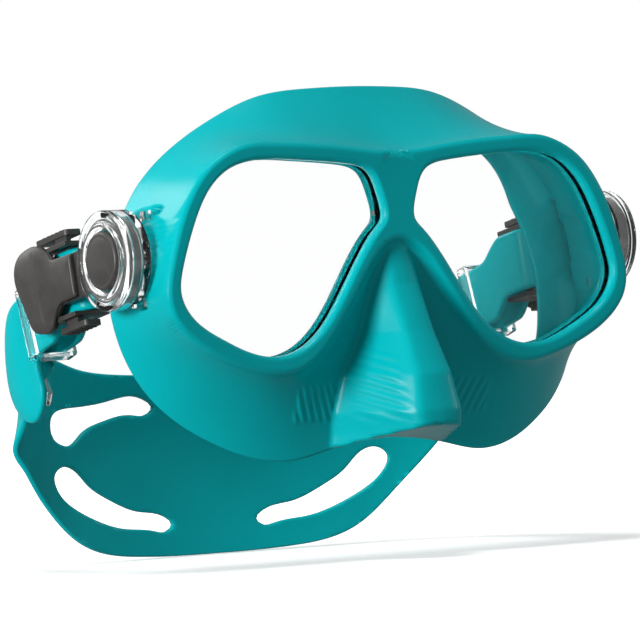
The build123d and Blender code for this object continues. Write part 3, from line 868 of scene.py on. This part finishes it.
def add_camera():
    level_part = math.cos(ELEVATION)
    toward = Vector((math.sin(AZIMUTH) * level_part, -math.cos(AZIMUTH) * level_part, math.sin(ELEVATION)))
    level = Vector((math.cos(AZIMUTH), math.sin(AZIMUTH), 0))
    above = toward.cross(level)
    right = level * math.cos(ROLL) + above * math.sin(ROLL)
    up = above * math.cos(ROLL) - level * math.sin(ROLL)
    place = toward * CAMERA_DISTANCE
    aim = right * AIM_RIGHT + up * AIM_UP
    back = (place - aim).normalized()
    side = (right - right.dot(back) * back).normalized()
    top = back.cross(side)
    data = bpy.data.cameras.new("camera")
    data.lens = FOCAL
    data.sensor_width = SENSOR_WIDTH
    data.clip_end = 100
    camera = bpy.data.objects.new("camera", data)
    origin = Vector(to_frame(place))
    camera.matrix_world = Matrix([
        (side.x, top.x, back.x, origin.x),
        (side.y, top.y, back.y, origin.y),
        (side.z, top.z, back.z, origin.z),
        (0, 0, 0, 1),
    ])
    bpy.context.scene.collection.objects.link(camera)
    bpy.context.scene.camera = camera


def add_light(name, place, size, energy, target=(0, 0.02, -0.01)):
    data = bpy.data.lights.new(name, "AREA")
    data.shape = "DISK"
    data.size = size
    data.energy = energy
    lamp = bpy.data.objects.new(name, data)
    lamp.location = place
    lamp.rotation_euler = (Vector(target) - Vector(place)).to_track_quat("-Z", "Y").to_euler()
    bpy.context.scene.collection.objects.link(lamp)


def add_stage():
    world = bpy.data.worlds.new("studio")
    bpy.context.scene.world = world
    world.use_nodes = True
    tree = world.node_tree
    seen, lit = tree.nodes["Background"], tree.nodes.new("ShaderNodeBackground")
    seen.inputs["Color"].default_value = (1, 1, 1, 1)
    lit.inputs["Color"].default_value = (1, 1, 1, 1)
    seen.inputs["Strength"].default_value = 1.0
    lit.inputs["Strength"].default_value = AMBIENT
    path, mix = tree.nodes.new("ShaderNodeLightPath"), tree.nodes.new("ShaderNodeMixShader")
    clear = tree.nodes.new("ShaderNodeMath")
    clear.operation = "MAXIMUM"
    tree.links.new(path.outputs["Is Camera Ray"], clear.inputs[0])
    tree.links.new(path.outputs["Is Transmission Ray"], clear.inputs[1])
    tree.links.new(clear.outputs[0], mix.inputs[0])
    tree.links.new(lit.outputs[0], mix.inputs[1])
    tree.links.new(seen.outputs[0], mix.inputs[2])
    tree.links.new(mix.outputs[0], tree.nodes["World Output"].inputs["Surface"])
    for name, place, size, energy in LIGHTS:
        add_light(name, place, size, energy)
    around = np.linspace(0, 2 * math.pi, FLOOR_SIDES, endpoint=False)
    ring = [(FLOOR_RADIUS * math.cos(a), FLOOR_RADIUS * math.sin(a), 0) for a in around]
    mesh = bpy.data.meshes.new("floor")
    mesh.from_pydata(ring, [], [list(range(FLOOR_SIDES))])
    floor = bpy.data.objects.new("floor", mesh)
    floor.location.z = cad_box[0][2] - FLOOR_GAP
    floor.visible_diffuse = False
    floor.visible_glossy = False
    bpy.context.scene.collection.objects.link(floor)
    made, tree, shader = material("floor_paper", Specular_IOR_Level=0.2, Roughness=0.8)
    shader.inputs["Emission Color"].default_value = (1, 1, 1, 1)
    coordinates, far = tree.nodes.new("ShaderNodeTexCoord"), tree.nodes.new("ShaderNodeVectorMath")
    far.operation = "LENGTH"
    tree.links.new(coordinates.outputs["Object"], far.inputs[0])
    # Painted light: the floor glows as well as being lit. The glow is weak close to the mask and full from
    # 0.6 m out, so the far floor stays white.
    painted_floor_glow = ramp(tree, far.outputs["Value"], 0.1, 0.6, grey(0.3), grey(1.0))
    tree.links.new(painted_floor_glow, shader.inputs["Emission Strength"])
    tree.links.new(ramp(tree, noise(tree, 3.0), 0.3, 0.7, grey(0.9), grey(0.93)), shader.inputs["Base Color"])
    mesh.materials.append(made)


# ---------------------------------------------------------------- assembly
def finish_slot(piece, body, slot, *nodes):
    """Puts a piece on its body with its slot's material, in place of the CAD nodes named."""
    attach(piece, body)
    piece.data.materials.clear()
    piece.data.materials.append(finishes[slot])
    if nodes:
        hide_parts(*nodes)


bpy.context.scene.view_settings.view_transform = "Standard"
add_camera()
add_stage()
finishes = {
    "silicone_teal": silicone(), "clear_plastic": clear_plastic(), "lens_glass": glass(),
    "dark_plastic": dark_plastic(), "steel": steel(),
}
for part in frame["record"]["subparts"]:
    mesh = frame["nodes"][part["node"]].data
    mesh.materials.clear()
    mesh.materials.append(finishes[part["material_slot"]])

finish_slot(build_skirt(), "mask", "silicone_teal", "skirt")
finish_slot(build_strap(), "left_buckle", "silicone_teal", "strap")
for word, side in SIDES.items():
    ring = lathe(f"{word}_clear_ring", RING_PROFILE, side)
    finish_slot(ring, "mask", "clear_plastic", f"{word}_swivel_ring")
    cap = lathe(f"{word}_centre_cap", CAP_PROFILE, side)
    finish_slot(cap, "mask", "dark_plastic", f"{word}_swivel_cap")
    body = softened(f"{word}_buckle_body", f"{word}_buckle_frame", 0.4, reach=BUCKLE_FRAME_REACH)
    finish_slot(body, f"{word}_buckle", "dark_plastic", f"{word}_buckle_body")
    finish_slot(buckle_cover(f"{word}_buckle_cover", side), f"{word}_buckle", "dark_plastic")
    for node, body, slot, width in (
        ("side_bracket", "mask", "clear_plastic", 0.35),
        ("upper_button", f"{word}_upper_button", "dark_plastic", 0.25),
        ("lower_button", f"{word}_lower_button", "dark_plastic", 0.25),
        ("buckle_keeper", f"{word}_buckle_keeper", "clear_plastic", 0.3),
        ("band_keeper", f"{word}_band_keeper", "clear_plastic", 0.3),
    ):
        piece = softened(f"{word}_{node}", f"{word}_{node}_moulded", width)
        finish_slot(piece, body, slot, f"{word}_{node}")
